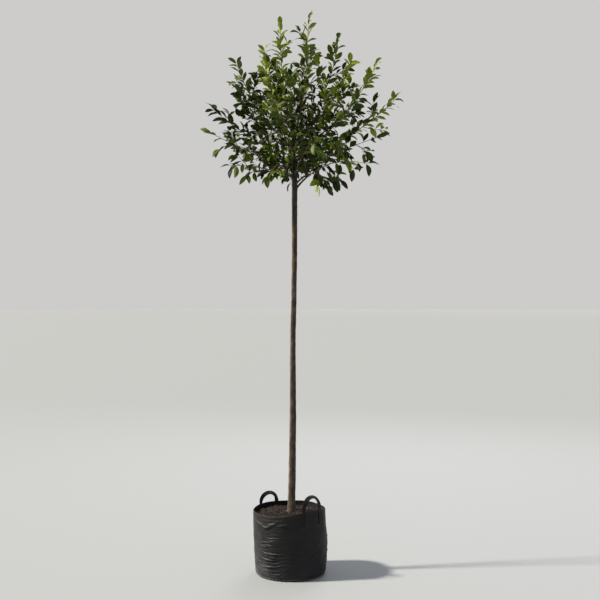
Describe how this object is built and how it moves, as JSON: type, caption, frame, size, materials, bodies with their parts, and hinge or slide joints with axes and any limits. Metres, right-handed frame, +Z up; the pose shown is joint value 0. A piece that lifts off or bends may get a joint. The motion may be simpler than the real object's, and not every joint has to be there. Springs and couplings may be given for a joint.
{
  "type": "potted standard tree",
  "caption": "Young tree with a clear straight stem and an open rounded leafy head, growing in a soft planter bag with webbing carrying handles.",
  "frame": {"origin": "middle of the bag's flat underside, on the ground", "axes": "+Z up along the stem; +X to the tree's right and -Y towards the viewer, as seen in the picture"},
  "size_m": [1.1127, 0.9673, 3.1092],
  "materials": {
    "bag": "black flexible plastic with a soft sheen",
    "webbing": "black woven webbing",
    "soil": "coarse bark compost",
    "bark": "smooth grey-brown bark",
    "leaf": "glossy dark green leaf"
  },
  "bodies": {
    "root": {"bag": "bag", "soil": "soil", "handle_back_left": "webbing", "handle_front_right": "webbing", "trunk": "bark", "bough_low_right": "bark", "bough_low_front_right": "bark", "bough_low_front_left": "bark", "bough_low_back": "bark", "bough_low_left": "bark", "bough_low_front": "bark", "bough_low_back_right": "bark", "bough_left_lower": "bark", "bough_right_lower": "bark", "bough_low_back_left": "bark", "bough_left_middle": "bark", "bough_right_middle": "bark", "bough_front_middle": "bark", "bough_front_right_middle": "bark", "bough_back_middle": "bark", "bough_back_left_upper": "bark", "bough_right_upper": "bark", "bough_left_upper": "bark", "bough_back_right_upper": "bark", "bough_front_left_upper": "bark", "bough_front_right_upper": "bark", "bough_front_upper": "bark", "bough_right_top": "bark", "bough_back_upper": "bark", "bough_left_top": "bark", "bough_leader_left": "bark", "bough_leader_right": "bark", "foliage_low_right": "leaf", "foliage_low_front_right": "leaf", "foliage_low_front_left": "leaf", "foliage_low_back": "leaf", "foliage_low_left": "leaf", "foliage_low_front": "leaf", "foliage_low_back_right": "leaf", "foliage_left_lower": "leaf", "foliage_right_lower": "leaf", "foliage_low_back_left": "leaf", "foliage_left_middle": "leaf", "foliage_right_middle": "leaf", "foliage_front_middle": "leaf", "foliage_front_right_middle": "leaf", "foliage_back_middle": "leaf", "foliage_back_left_upper": "leaf", "foliage_right_upper": "leaf", "foliage_left_upper": "leaf", "foliage_back_right_upper": "leaf", "foliage_front_left_upper": "leaf", "foliage_front_right_upper": "leaf", "foliage_front_upper": "leaf", "foliage_right_top": "leaf", "foliage_back_upper": "leaf", "foliage_left_top": "leaf", "foliage_leader_left": "leaf", "foliage_leader_right": "leaf"}
  },
  "joints": []
}
